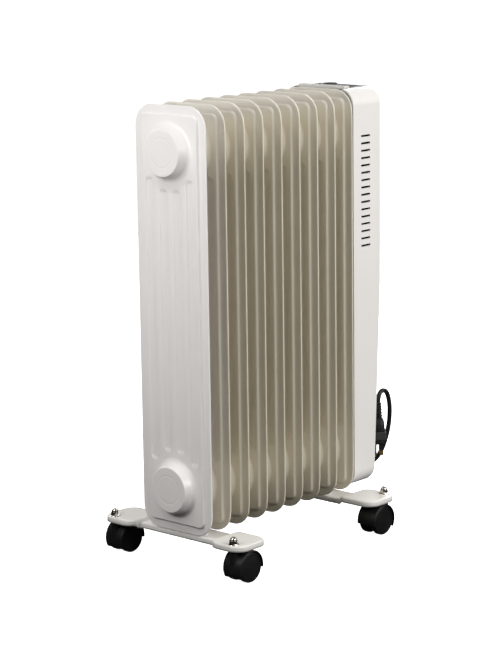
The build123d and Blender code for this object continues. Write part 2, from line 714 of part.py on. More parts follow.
half_width = plug_width / 2 + tie_slack
half_depth = plug_depth / 2 + tie_slack
tie_corners = [(tie_x, coil_y + hank_r + tie_slack), (tie_far, coil_y + hank_r + tie_slack),
               beside_plug(half_width, half_depth), beside_plug(-half_width, half_depth),
               (tie_x, plug_y - 1.4)]
print("tie corners", [(round(x, 1), round(y, 1)) for x, y in tie_corners])
with BuildPart() as tie:
    with BuildSketch(Plane.XY.offset(tie_z - tie_height / 2)):
        with BuildLine():
            Polyline(*tie_corners, close=True)
        make_face()
        offset(amount=tie_band)
        with BuildLine():
            Polyline(*tie_corners, close=True)
        make_face(mode=Mode.SUBTRACT)
    extrude(amount=tie_height)
save(tie.part, "cord_tie")

saddle_width = 10.0
saddle_height = 30.0
saddle_depth = 9.6
with BuildPart() as saddle:
    with Locations(face_plane(coil_y, tie_z)):
        Box(saddle_width, saddle_height, saddle_depth, align=CENTRE_MIN)
    with Locations((tie_x + 0.3, coil_y, tie_z)):
        Box(20, 20, tie_height + 4, align=(Align.MAX, Align.CENTER, Align.CENTER), mode=Mode.SUBTRACT)
    with Locations((coil_layers[0] - cord_r - 0.2, coil_y, tie_z)):
        Box(20, 20, 60, align=(Align.MIN, Align.CENTER, Align.CENTER), mode=Mode.SUBTRACT)
save(saddle.part, "tie_saddle")


def arc_radii(route):
    """0.45 of the shorter run at each corner, divided by the tangent of half the turn."""
    points = [Vector(*p) for p in route]
    radii = []
    for before, corner, after in zip(points, points[1:], points[2:]):
        turn = (corner - before).get_angle(after - corner)
        shorter = min((corner - before).length, (after - corner).length)
        radii.append(0.45 * shorter / tan(radians(turn) / 2))
    return radii


def make_tube(name, route):
    radii = arc_radii(route)
    start = Vector(*route[0])
    with BuildPart() as tube:
        with BuildLine():
            path = FilletPolyline(*route, radius=radii)
        with BuildSketch(Plane(origin=start, z_dir=Vector(*route[1]) - start)):
            Circle(cord_r)
        sweep()
    expected = pi * cord_r ** 2 * path.length
    print(name, "radii", [round(r, 1) for r in radii], "length", round(path.length, 1),
          "volume", round(tube.part.volume), "section x length", round(expected))
    save(tube.part, name)


make_tube("cord_lead", lead_route)
make_tube("cord_tail", tail_route)

with BuildPart() as relief:
    with Locations(plug_frame):
        Cone(4.2, 5.2, relief_length, align=CENTRE_MIN)
        for ring in range(5):
            with Locations((0, 0, 1.0 + ring * 4.4)):
                Cylinder(4.7 + 0.4 * ring, 2.6, align=CENTRE_MIN)
save(relief.part, "plug_strain_relief")

with BuildPart() as plug:
    with BuildSketch(plug_frame.offset(relief_length)):
        RectangleRounded(plug_width, plug_depth, 6.0)
    extrude(amount=plug_body_length)
    fillet(plug.edges().group_by(Axis.Z)[-1], radius=3.0)
    fillet(plug.edges().group_by(Axis.Z)[0], radius=1.0)
save(plug.part, "plug_body")

# Two flat pins with insulating sleeves at their roots, and a round earth pin.
pin_offset = 4.5             # of the flat pins and of the earth pin, from the plug's axis
blade_thickness = 1.6
blade_width = 6.3
blade_length = 17.0
sleeve_length = 9.0
sleeve_skin = 0.35
blade_core = (blade_thickness - 2 * sleeve_skin, blade_width - 2 * sleeve_skin)
blade_places = [(-6.3, pin_offset), (6.3, pin_offset)]
earth_pin_r = 2.4
earth_pin_length = 20.0
with BuildPart() as pins:
    with Locations(plug_frame.offset(relief_length + plug_body_length)):
        with Locations(*blade_places):
            Box(*blade_core, blade_length, align=CENTRE_MIN)
            with Locations((0, 0, sleeve_length)):
                Box(blade_thickness, blade_width, blade_length - sleeve_length, align=CENTRE_MIN)
        with Locations((0, -pin_offset)):
            Cylinder(earth_pin_r, earth_pin_length, align=CENTRE_MIN)
save(pins.part, "plug_pins")

with BuildPart() as sleeves:
    with Locations(plug_frame.offset(relief_length + plug_body_length)):
        with Locations(*blade_places):
            Box(blade_thickness, blade_width, sleeve_length, align=CENTRE_MIN)
            Box(*blade_core, sleeve_length, align=CENTRE_MIN, mode=Mode.SUBTRACT)
save(sleeves.part, "pin_sleeves")
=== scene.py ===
import json
from math import asin, ceil, cos, pi, radians, sin, sqrt

import bpy
import numpy as np
from mathutils import Matrix, Vector


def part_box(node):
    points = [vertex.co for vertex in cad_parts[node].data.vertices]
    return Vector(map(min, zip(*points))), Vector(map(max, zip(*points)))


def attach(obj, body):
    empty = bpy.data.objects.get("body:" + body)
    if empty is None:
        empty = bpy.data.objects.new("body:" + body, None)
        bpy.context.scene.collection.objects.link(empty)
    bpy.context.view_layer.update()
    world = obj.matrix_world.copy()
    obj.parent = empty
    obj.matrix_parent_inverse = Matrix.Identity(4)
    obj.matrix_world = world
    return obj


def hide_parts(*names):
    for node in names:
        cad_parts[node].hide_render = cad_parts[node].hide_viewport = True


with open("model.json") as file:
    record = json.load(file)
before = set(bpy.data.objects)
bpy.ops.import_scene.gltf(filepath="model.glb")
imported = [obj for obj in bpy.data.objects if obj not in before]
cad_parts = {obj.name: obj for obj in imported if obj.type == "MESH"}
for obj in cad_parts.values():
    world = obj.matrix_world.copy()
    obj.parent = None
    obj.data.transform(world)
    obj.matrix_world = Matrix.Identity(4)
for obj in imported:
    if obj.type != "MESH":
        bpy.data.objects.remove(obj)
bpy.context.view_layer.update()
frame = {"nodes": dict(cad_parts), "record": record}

# Oil filled radiator heater.  Metres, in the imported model's frame: +X runs from the end fin to the control
# housing, +Z is up, and the floor is at Z = 0.

fin_low, fin_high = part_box("end_fin")
MM = 0.001
SCENE = bpy.context.scene


# ---------------------------------------------------------------- camera and lights
CAMERA_PLACE = (-2.25774, -1.98386, 0.90144)
CAMERA_YAW = 41.553          # degrees from +X towards +Y
CAMERA_PITCH = -11.406       # degrees above the horizon
CAMERA_ROLL = -0.774         # degrees
CAMERA_LENS = 118.1          # millimetres, for a 36 mm sensor along the picture's height


def make_camera():
    """A long lens, far off on the heater's -X and -Y side, looking slightly down."""
    yaw, pitch, roll = radians(CAMERA_YAW), radians(CAMERA_PITCH), radians(CAMERA_ROLL)
    forward = Vector((cos(pitch) * cos(yaw), cos(pitch) * sin(yaw), sin(pitch)))
    right = forward.cross(Vector((0, 0, 1))).normalized()
    up = right.cross(forward)
    rolled_right = cos(roll) * right + sin(roll) * up
    rolled_up = cos(roll) * up - sin(roll) * right
    data = bpy.data.cameras.new("camera")
    data.lens = CAMERA_LENS
    data.sensor_width = 36.0
    data.clip_end = 200.0
    camera = bpy.data.objects.new("camera", data)
    SCENE.collection.objects.link(camera)
    turn = Matrix((rolled_right, rolled_up, -forward)).transposed().to_4x4()
    camera.matrix_world = Matrix.Translation(CAMERA_PLACE) @ turn
    SCENE.camera = camera


def area_light(name, place, aim, size, power):
    """A white rectangular lamp at place, turned towards aim, that the camera doesn't see."""
    data = bpy.data.lights.new(name, "AREA")
    data.shape = "RECTANGLE"
    data.size, data.size_y = size
    data.energy = power
    light = bpy.data.objects.new(name, data)
    SCENE.collection.objects.link(light)
    light.location = place
    light.rotation_euler = (Vector(aim) - Vector(place)).to_track_quat("-Z", "Y").to_euler()
    light.visible_camera = False


def make_world(upper, lower):
    """Soft light from all round: one tone above the horizon and another below it."""
    world = bpy.data.worlds.new("studio")
    world.use_nodes = True
    nodes, links = world.node_tree.nodes, world.node_tree.links
    background = nodes["Background"]
    split = nodes.new("ShaderNodeSeparateXYZ")
    links.new(nodes.new("ShaderNodeTexCoord").outputs["Generated"], split.inputs[0])
    shift = nodes.new("ShaderNodeMath")
    shift.operation = "MULTIPLY_ADD"
    shift.inputs[1].default_value = 0.5
    shift.inputs[2].default_value = 0.5
    links.new(split.outputs["Z"], shift.inputs[0])
    ramp = nodes.new("ShaderNodeValToRGB")
    ramp.color_ramp.elements[0].position = 0.40
    ramp.color_ramp.elements[0].color = (lower, lower, lower, 1)
    ramp.color_ramp.elements[1].position = 0.65
    ramp.color_ramp.elements[1].color = (upper, upper, upper, 1)
    links.new(shift.outputs[0], ramp.inputs["Fac"])
    links.new(ramp.outputs["Color"], background.inputs["Color"])
    background.inputs["Strength"].default_value = 1.0
    SCENE.world = world


def sun_light(name, power, tilt, spread):
    """Light from far above: tilt is its turn about X, Y and Z, spread its width, in degrees."""
    data = bpy.data.lights.new(name, "SUN")
    data.energy = power
    data.angle = radians(spread)
    light = bpy.data.objects.new(name, data)
    SCENE.collection.objects.link(light)
    light.rotation_euler = [radians(a) for a in tilt]


SKY_UPPER = 0.025
SKY_LOWER = 0.035
SUN_POWER = 0.62
FLOOR_GLOW = 0.98
LOW_MIDDLE = (0.0, 0.0, 0.33)
# Each lamp, named roughly by where it is in the picture: its place, its aim, its size, its power in watts.
LAMPS = {
    "left_high": ((-0.85, 0.15, 1.5), (-0.05, 0.0, 0.62), (0.6, 0.4), 4.5),
    "left_near": ((-0.98, 0.1, 0.68), (-0.19, 0.0, 0.60), (0.4, 0.4), 5.3),
    "front": ((-0.1, -2.4, 1.3), LOW_MIDDLE, (1.2, 1.0), 36.5),
    "front_right": ((1.35, -2.1, 1.3), (0.05, 0.0, 0.33), (1.2, 1.0), 33.5),
    "rear": ((2.3, 0.8, 1.2), (0.19, 0.0, 0.33), (1.2, 1.0), 34.0),
    "far_side": ((0.7, 2.2, 1.3), LOW_MIDDLE, (1.2, 1.0), 17.0),
}


def make_lights():
    """The dim sky, the lamps, and a little light from above."""
    make_world(SKY_UPPER, SKY_LOWER)
    for name, (place, aim, size, power) in LAMPS.items():
        area_light(name, place, aim, size, power)
    sun_light("above", SUN_POWER, (8, -6, 0), 80)


# ---------------------------------------------------------------- materials
def node_material(name, metallic=0.0, roughness=0.5):
    """A new node material and its parts: (material, nodes, links, principled shader, object coordinates)."""
    material = bpy.data.materials.new(name)
    material.use_nodes = True
    nodes, links = material.node_tree.nodes, material.node_tree.links
    shader = nodes["Principled BSDF"]
    shader.inputs["Metallic"].default_value = metallic
    shader.inputs["Roughness"].default_value = roughness
    coords = nodes.new("ShaderNodeTexCoord").outputs["Object"]
    return material, nodes, links, shader, coords


def add_noise(nodes, links, coords, scale, detail=2.0, roughness=0.5):
    """Soft noise over the coordinates, finer as scale grows."""
    noise = nodes.new("ShaderNodeTexNoise")
    noise.inputs["Scale"].default_value = scale
    noise.inputs["Detail"].default_value = detail
    noise.inputs["Roughness"].default_value = roughness
    links.new(coords, noise.inputs["Vector"])
    return noise.outputs["Fac"]


def add_ramp(nodes, links, factor, low, high, start=0.3, end=0.7):
    """A colour that goes from low to high as factor goes from start to end."""
    ramp = nodes.new("ShaderNodeValToRGB")
    ramp.color_ramp.elements[0].position = start
    ramp.color_ramp.elements[1].position = end
    ramp.color_ramp.elements[0].color = (*low, 1)
    ramp.color_ramp.elements[1].color = (*high, 1)
    links.new(factor, ramp.inputs["Fac"])
    return ramp.outputs["Color"]


def add_range(nodes, links, factor, low, high):
    """A number that goes from low to high as factor goes from 0.3 to 0.7."""
    spread = nodes.new("ShaderNodeMapRange")
    spread.inputs["From Min"].default_value = 0.3
    spread.inputs["From Max"].default_value = 0.7
    spread.inputs["To Min"].default_value = low
    spread.inputs["To Max"].default_value = high
    links.new(factor, spread.inputs["Value"])
    return spread.outputs["Result"]


def add_bump(nodes, links, height, distance, strength=1.0, below=None):
    """A bumped normal, laid over another one where below is given."""
    bump = nodes.new("ShaderNodeBump")
    bump.inputs["Distance"].default_value = distance
    bump.inputs["Strength"].default_value = strength
    links.new(height, bump.inputs["Height"])
    if below:
        links.new(below, bump.inputs["Normal"])
    return bump.outputs["Normal"]


def enamel(name, colour, warm, roughness=(0.30, 0.42), peel=0.00005):
    """Baked enamel: faint orange peel, soft pressing waves and a slow drift of tone."""
    material, nodes, links, shader, coords = node_material(name)
    drift = add_noise(nodes, links, coords, 5.0, 3.0)
    links.new(add_ramp(nodes, links, drift, warm, colour), shader.inputs["Base Color"])
    smudge = add_noise(nodes, links, coords, 38.0, 4.0)
    links.new(add_range(nodes, links, smudge, *roughness), shader.inputs["Roughness"])
    waves = add_bump(nodes, links, add_noise(nodes, links, coords, 22.0, 1.0), 0.0006, 0.35)
    skin = add_noise(nodes, links, coords, 900.0, 2.0)
    links.new(add_bump(nodes, links, skin, peel, 0.6, waves), shader.inputs["Normal"])
    return material


def math_node(nodes, links, operation, first, second):
    """The output of a maths node fed by two values, each a socket or a plain number."""
    node = nodes.new("ShaderNodeMath")
    node.operation = operation
    for socket, value in zip(node.inputs, (first, second)):
        if isinstance(value, (int, float)):
            socket.default_value = value
        else:
            links.new(value, socket)
    return node.outputs[0]


def tint_by(material, factor, tint, start, end):
    """Multiply a material's colour by tint where factor is above end, not at all below start."""
    nodes, links = material.node_tree.nodes, material.node_tree.links
    shader = nodes["Principled BSDF"]
    base = shader.inputs["Base Color"].links[0].from_socket
    mix = nodes.new("ShaderNodeMix")
    mix.data_type = "RGBA"
    mix.blend_type = "MULTIPLY"
    mix.inputs["Factor"].default_value = 1.0
    links.new(base, mix.inputs["A"])
    links.new(add_ramp(nodes, links, factor, (1, 1, 1), tint, start, end), mix.inputs["B"])
    links.new(mix.outputs["Result"], shader.inputs["Base Color"])


PAINTED_TOP_LIGHT_FROM = 0.60             # heights in metres between which painted light makes the inner fins' enamel paler and cooler
PAINTED_TOP_LIGHT_TO = 0.63


def fin_paint():
    """The inner fins' enamel, with painted shade making it darker and warmer than the end fin's, and painted
    light making it paler and cooler along their tops.
    """
    # Painted shade: the inner fins get a darker, warmer colour than the end fin's enamel, standing in for
    # the shade between the fins.
    material = enamel("fin_enamel", (0.74, 0.692, 0.578), (0.71, 0.658, 0.545))
    nodes, links = material.node_tree.nodes, material.node_tree.links
    split = nodes.new("ShaderNodeSeparateXYZ")
    links.new(nodes["Texture Coordinate"].outputs["Object"], split.inputs[0])
    # Painted light: paler and cooler above these heights, standing in for the cool light on the fins' tops.
    tint_by(material, split.outputs["Z"], (1.05, 1.08, 1.19), PAINTED_TOP_LIGHT_FROM, PAINTED_TOP_LIGHT_TO)
    return material


def housing_paint():
    """The housing's enamel. Faces that look towards its middle are dark: little light reaches them."""
    material = enamel("housing_enamel", (0.82, 0.795, 0.765), (0.80, 0.775, 0.745))
    nodes, links = material.node_tree.nodes, material.node_tree.links
    coords = nodes["Texture Coordinate"]
    low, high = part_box("control_housing")
    from_middle = nodes.new("ShaderNodeVectorMath")
    from_middle.operation = "SUBTRACT"
    links.new(coords.outputs["Object"], from_middle.inputs[0])
    from_middle.inputs[1].default_value = (low + high) / 2
    facing = nodes.new("ShaderNodeVectorMath")
    facing.operation = "DOT_PRODUCT"
    links.new(from_middle.outputs[0], facing.inputs[0])
    links.new(coords.outputs["Normal"], facing.inputs[1])
    inward = math_node(nodes, links, "LESS_THAN", facing.outputs["Value"], 0.0)
    tint_by(material, inward, (0.04, 0.04, 0.04), 0.4, 0.6)
    return material


def moulded(name, low, high, roughness=(0.42, 0.55), grain=1400.0, depth=0.00004, gloss=0.5):
    """Moulded plastic or rubber with a fine spark-eroded grain and slightly uneven gloss."""
    material, nodes, links, shader, coords = node_material(name)
    shader.inputs["Specular IOR Level"].default_value = gloss
    cloud = add_noise(nodes, links, coords, 60.0, 4.0)
    links.new(add_ramp(nodes, links, cloud, low, high), shader.inputs["Base Color"])
    links.new(add_range(nodes, links, cloud, *roughness), shader.inputs["Roughness"])
    skin = add_noise(nodes, links, coords, grain, 3.0, 0.6)
    links.new(add_bump(nodes, links, skin, depth, 0.8), shader.inputs["Normal"])
    return material


def plated(name, low, high, roughness=(0.16, 0.30), scale=120.0):
    """Plated or drawn metal with fine handling marks."""
    material, nodes, links, shader, coords = node_material(name, metallic=1.0)
    cloud = add_noise(nodes, links, coords, scale, 5.0, 0.65)
    links.new(add_ramp(nodes, links, cloud, low, high), shader.inputs["Base Color"])
    links.new(add_range(nodes, links, cloud, *roughness), shader.inputs["Roughness"])
    skin = add_noise(nodes, links, coords, 10 * scale, 3.0)
    links.new(add_bump(nodes, links, skin, 0.00002, 0.5), shader.inputs["Normal"])
    return material


def galvanised(name):
    """Zinc-coated sheet with its crystal spangle."""
    material, nodes, links, shader, coords = node_material(name, metallic=0.9)
    cells = nodes.new("ShaderNodeTexVoronoi")
    cells.inputs["Scale"].default_value = 160.0
    links.new(coords, cells.inputs["Vector"])
    tone = nodes.new("ShaderNodeSeparateColor")
    links.new(cells.outputs["Color"], tone.inputs["Color"])
    shade = tone.outputs["Red"]
    links.new(add_ramp(nodes, links, shade, (0.42, 0.43, 0.44), (0.62, 0.63, 0.64), 0, 1),
              shader.inputs["Base Color"])
    links.new(add_range(nodes, links, shade, 0.32, 0.5), shader.inputs["Roughness"])
    return material


def woven(name, low, high):
    """Woven strap: crossed ribs of yarn."""
    material, nodes, links, shader, coords = node_material(name, roughness=0.85)
    heights = []
    for direction in ("X", "Z"):
        wave = nodes.new("ShaderNodeTexWave")
        wave.bands_direction = direction
        wave.inputs["Scale"].default_value = 420.0
        wave.inputs["Distortion"].default_value = 1.5
        links.new(coords, wave.inputs["Vector"])
        heights.append(wave.outputs["Fac"])
    cross = nodes.new("ShaderNodeMath")
    cross.operation = "MAXIMUM"
    links.new(heights[0], cross.inputs[0])
    links.new(heights[1], cross.inputs[1])
    links.new(add_ramp(nodes, links, cross.outputs[0], low, high, 0, 1), shader.inputs["Base Color"])
    links.new(add_bump(nodes, links, cross.outputs[0], 0.0003), shader.inputs["Normal"])
    shader.inputs["Sheen Weight"].default_value = 0.3
    return material


make_camera()
make_lights()
MATERIALS = {
    "fin_enamel": fin_paint(),
    "end_enamel": enamel("end_enamel", (0.815, 0.785, 0.765), (0.795, 0.765, 0.74)),
    "foot_enamel": enamel("foot_enamel", (0.765, 0.745, 0.71), (0.735, 0.715, 0.675)),
    "housing_enamel": housing_paint(),
    "galvanised": galvanised("galvanised"),
    "panel_grey": moulded("panel_grey", (0.15, 0.145, 0.14), (0.19, 0.185, 0.18), (0.5, 0.62)),
    "handle_white": moulded("handle_white", (0.68, 0.66, 0.62), (0.74, 0.72, 0.68), (0.35, 0.45)),
    "zinc": plated("zinc", (0.55, 0.55, 0.53), (0.70, 0.70, 0.68), (0.22, 0.38)),
    "element_steel": plated("element_steel", (0.36, 0.35, 0.34), (0.46, 0.45, 0.43), (0.35, 0.5)),
    "seal_rubber": moulded("seal_rubber", (0.02, 0.02, 0.02), (0.035, 0.035, 0.035), (0.7, 0.8)),
    "phenolic": moulded("phenolic", (0.03, 0.025, 0.022), (0.05, 0.042, 0.036), (0.35, 0.5)),
    "brass": plated("brass", (0.62, 0.44, 0.17), (0.76, 0.56, 0.26), (0.18, 0.32)),
    "knob_black": moulded("knob_black", (0.022, 0.022, 0.022), (0.034, 0.034, 0.034), (0.4, 0.5)),
    "lamp_lens": moulded("lamp_lens", (0.10, 0.022, 0.012), (0.14, 0.03, 0.016), (0.12, 0.2)),
    "terminal_white": moulded("terminal_white", (0.62, 0.62, 0.58), (0.70, 0.70, 0.66)),
    "nut_chrome": plated("nut_chrome", (0.42, 0.40, 0.37), (0.55, 0.53, 0.50), (0.08, 0.16)),
    "caster_black": moulded("caster_black", (0.006, 0.006, 0.006), (0.010, 0.010, 0.010), (0.38, 0.5),
                            gloss=0.25),
    "wheel_black": moulded("wheel_black", (0.006, 0.006, 0.006), (0.010, 0.010, 0.010), (0.34, 0.46),
                           gloss=0.2),
    "cord_black": moulded("cord_black", (0.008, 0.008, 0.008), (0.014, 0.014, 0.014), (0.36, 0.5),
                          grain=700.0, gloss=0.25),
    "tie_black": woven("tie_black", (0.008, 0.008, 0.008), (0.03, 0.03, 0.03)),
    "saddle_black": moulded("saddle_black", (0.012, 0.012, 0.012), (0.02, 0.02, 0.02)),
    "plug_black": moulded("plug_black", (0.008, 0.008, 0.008), (0.013, 0.013, 0.013), (0.42, 0.55),
                          grain=900.0, gloss=0.25),
}


FLOOR_REACH = 60.0


def make_floor():
    """A wide sheet of bright paper, which lights nothing and shows in no reflection."""
    corners = [(-FLOOR_REACH, -FLOOR_REACH, 0), (FLOOR_REACH, -FLOOR_REACH, 0),
               (FLOOR_REACH, FLOOR_REACH, 0), (-FLOOR_REACH, FLOOR_REACH, 0)]
    mesh = bpy.data.meshes.new("floor")
    mesh.from_pydata(corners, [], [(0, 1, 2, 3)])
    floor = bpy.data.objects.new("floor", mesh)
    SCENE.collection.objects.link(floor)
    paper = enamel("floor_paper", (0.90, 0.90, 0.90), (0.89, 0.89, 0.89), (0.8, 0.9))
    shader = paper.node_tree.nodes["Principled BSDF"]
    shader.inputs["Emission Color"].default_value = (1, 1, 1, 1)
    shader.inputs["Emission Strength"].default_value = FLOOR_GLOW
    mesh.materials.append(paper)
    floor.visible_diffuse = False
    floor.visible_glossy = False


make_floor()
SCENE.view_settings.view_transform = "Standard"


# ---------------------------------------------------------------- mesh helpers
def add_piece(name, verts, faces, slot, body, replaces=(), material=None, sharp=35):
    """A smooth-shaded mesh in the row frame that rides on a body and stands for CAD nodes."""
    mesh = bpy.data.meshes.new(name)
    mesh.from_pydata([tuple(v) for v in verts], [], faces)
    mesh.validate()
    mesh.update()
    mesh.materials.append(MATERIALS[material or slot])
    mesh.polygons.foreach_set("use_smooth", [True] * len(mesh.polygons))
    mesh.set_sharp_from_angle(angle=radians(sharp))
    piece = bpy.data.objects.new(name, mesh)
    SCENE.collection.objects.link(piece)
    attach(piece, body)
    if replaces:
        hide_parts(*replaces)
    return piece


class Shell:
    """Collects vertices and faces of one piece."""

    def __init__(self):
        self.verts = []
        self.faces = []

    def add(self, verts, faces):
        start = len(self.verts)
        self.verts.extend(Vector(v) for v in verts)
        self.faces.extend([tuple(start + i for i in face) for face in faces])

    def grid(self, rows, close_rows=False, close_columns=False, flip=False):
        """A sheet of quads through a table of points, closed on itself along either direction."""
        height, width = len(rows), len(rows[0])
        verts = [p for row in rows for p in row]
        faces = []
        for i in range(height - (0 if close_rows else 1)):
            for j in range(width - (0 if close_columns else 1)):
                a, b = i * width + j, i * width + (j + 1) % width
                c, d = (i + 1) % height * width + (j + 1) % width, (i + 1) % height * width + j
                faces.append((d, c, b, a) if flip else (a, b, c, d))
        self.add(verts, faces)

    def lathe(self, profile, place, axis, count=48):
        """A turned solid about axis at place: profile is (radius, height) pairs from end to end."""
        axis = Vector(axis).normalized()
        side = axis.orthogonal().normalized()
        other = axis.cross(side)
        rings = [[Vector(place) + axis * h + (side * cos(t) + other * sin(t)) * r
                  for t in (2 * pi * k / count for k in range(count))] for r, h in profile if r > 1e-7]
        self.grid(rings, close_columns=True)
        first = len(self.verts) - len(rings) * count
        last = len(self.verts) - count
        ends = ((profile[0], first, True), (profile[-1], last, False))
        for (r, h), start, backwards in ends:
            if r <= 1e-7:
                self.verts.append(Vector(place) + axis * h)
                tip = len(self.verts) - 1
                for k in range(count):
                    a, b = start + k, start + (k + 1) % count
                    self.faces.append((b, a, tip) if backwards else (a, b, tip))

    def cap(self, ring, flip=False):
        """One flat face over a closed ring of points."""
        face = tuple(range(len(ring)))
        self.add(ring, [face[::-1] if flip else face])


def arc(centre_r, centre_h, radius, start, end, steps):
    """Points of a round in a (radius, height) profile, angles in degrees from the +radius direction."""
    return [(centre_r + radius * cos(radians(start + (end - start) * k / steps)),
             centre_h + radius * sin(radians(start + (end - start) * k / steps))) for k in range(steps + 1)]


def smooth(t):
    """0 below 0, 1 above 1, and a smooth step between."""
    t = np.clip(t, 0.0, 1.0)
    return t * t * (3 - 2 * t)


# ---------------------------------------------------------------- fins
fin_pitch = fin_high.x - fin_low.x
half_width = fin_high.y
half_height = (fin_high.z - fin_low.z) / 2
fin_middle_z = (fin_high.z + fin_low.z) / 2
FIN_NODES = ["end_fin"] + [f"fin_{i}" for i in range(2, 10)]
CORNER = 30.0 * MM
SEAM = 1.2 * MM              # half the thickness of the welded rim
PANEL_INSET = 11.5 * MM
PANEL_CORNER = 10.0 * MM
PANEL_WALL = 2.1 * MM
PANEL_RISE = 3.0 * MM
FLUTE_YS = (-36.6 * MM, -12.2 * MM, 12.2 * MM, 36.6 * MM)
FLUTE_HALF = 7.2 * MM
FLUTE_DEPTH = 1.5 * MM
FLUTE_WALL = 2.4 * MM
FLUTE_END = 50.0 * MM        # from a hub's axis to the flutes' ends
HUB_Z = half_height - 62.0 * MM
HUB_BASE = 36.5 * MM
HUB_TIP = 31.5 * MM
HUB_FILLET = 4.5 * MM        # round the foot of an outer hub
HUB_FLARE = 42.5 * MM        # radius of the wide foot that a hub has between two fins
HUB_SINK = 0.1 * MM          # how far that foot starts inside the panel
HUB_EDGE = 1.1 * MM          # round of a closed hub's edge
CAP_RING = 20.0 * MM         # radius and depth of the fine groove in the end fin's caps
CAP_GROOVE = 0.3 * MM


def relief(y, z):
    """Height of the pressed sheet over its rim at (y, z), measured from the fin's middle.

    outside is the distance from a rectangle PANEL_CORNER inside the panel's edge, negative within it.
    """
    across = np.abs(y) - (half_width - PANEL_INSET - PANEL_CORNER)
    along = np.abs(z) - (half_height - PANEL_INSET - PANEL_CORNER)
    outside = np.hypot(np.maximum(across, 0), np.maximum(along, 0))
    outside = outside + np.minimum(np.maximum(across, along), 0)
    height = PANEL_RISE * smooth((PANEL_CORNER - outside) / PANEL_WALL)
    for flute_y in FLUTE_YS:
        tip = HUB_Z - sqrt(FLUTE_END ** 2 - flute_y ** 2) - FLUTE_HALF
        inside = FLUTE_HALF - np.hypot(y - flute_y, np.maximum(np.abs(z) - tip, 0))
        height = height - FLUTE_DEPTH * smooth(inside / FLUTE_WALL)
    return height


def stations(limit, spans, coarse):
    """Positions from 0 to limit: each (start, end, count) span cut evenly, the rest in coarse steps."""
    places = [0.0]
    for start, end, count in spans + [(limit, limit, 0)]:
        start = max(start, places[-1])
        gap = start - places[-1]
        steps = max(1, ceil(gap / coarse))
        if gap > 0.01 * MM:
            places += [places[-1] + gap * k / steps for k in range(1, steps + 1)]
        places += [start + (end - start) * k / count for k in range(1, count + 1)]
    return places


def fin_rows(detail):
    """Heights of a fin's rows, from its middle to its edge, closest where the sheet bends."""
    inner_corner = CORNER - SEAM
    panel_top = half_height - PANEL_INSET
    flutes_end = HUB_Z - FLUTE_END - FLUTE_HALF
    spans = [(flutes_end, flutes_end + 26 * MM, 10 * detail),
             (panel_top - PANEL_CORNER, panel_top - PANEL_WALL, 4 * detail),
             (panel_top - PANEL_WALL, panel_top, 2 + 2 * detail)]
    rows = stations(panel_top, spans, 16 * MM / detail)
    start = asin((panel_top - half_height + CORNER) / inner_corner)
    steps = 7 * detail
    turn = (pi / 2 - start) / steps
    return rows + [half_height - CORNER + inner_corner * sin(start + turn * k) for k in range(1, steps + 1)]


def sheet_points(side, detail):
    """Table of (x offset, y, z offset) over one pressed sheet, its edge SEAM inside the fin's outline."""
    panel_edge = half_width - PANEL_INSET
    edge_of_sheet = half_width - SEAM
    spans = []
    for flute_y in FLUTE_YS:
        if flute_y > 0:
            spans += [(flute_y - FLUTE_HALF, flute_y - FLUTE_HALF + FLUTE_WALL, 2 + detail),
                      (flute_y + FLUTE_HALF - FLUTE_WALL, flute_y + FLUTE_HALF, 2 + detail)]
    spans += [(panel_edge - PANEL_CORNER, panel_edge - PANEL_WALL, 4 * detail),
              (panel_edge - PANEL_WALL, panel_edge, 2 + 2 * detail)]
    half_ys = stations(edge_of_sheet, spans, 5 * MM)
    ys = np.array([-v for v in reversed(half_ys[1:])] + half_ys)
    half_zs = fin_rows(detail)
    zs = [-v for v in reversed(half_zs[1:])] + half_zs
    table = []
    for z in zs:
        over = max(0.0, abs(z) - (half_height - CORNER))
        edge = half_width - CORNER + sqrt(max(0.0, (CORNER - SEAM) ** 2 - over ** 2))
        if abs(z) <= half_height - PANEL_INSET + 0.01 * MM:
            shrink = (edge - panel_edge) / (edge_of_sheet - panel_edge)
            beyond = np.maximum(np.abs(ys) - panel_edge, 0) * shrink
            row_y = np.sign(ys) * (np.minimum(np.abs(ys), panel_edge) + beyond)
        else:
            row_y = ys * edge / edge_of_sheet
        height = relief(row_y, np.full(len(row_y), z))
        table.append([(side * (SEAM + h), y, z) for h, y in zip(height, row_y)])
    return table


def outline_of(table):
    """The points round the outside of a table, in order."""
    return table[0] + [row[-1] for row in table[1:-1]] + table[-1][::-1] + [row[0] for row in table[-2:0:-1]]


def outward(y, z):
    """Unit direction out of the fin's rounded outline at a point of its edge."""
    core_y = max(-(half_width - CORNER), min(half_width - CORNER, y))
    core_z = max(-(half_height - CORNER), min(half_height - CORNER, z))
    away = Vector((0, y - core_y, z - core_z))
    return away.normalized()


def inner_hub(reach):
    """(radius, height) of half a hub between two fins: a wide foot that narrows towards the join."""
    shares = [k / 14 for k in range(14)]
    foot = [(HUB_FLARE - (HUB_FLARE - HUB_TIP) * t, reach * t ** 1.5 - HUB_SINK) for t in shares]
    return foot + [(HUB_TIP, reach)]


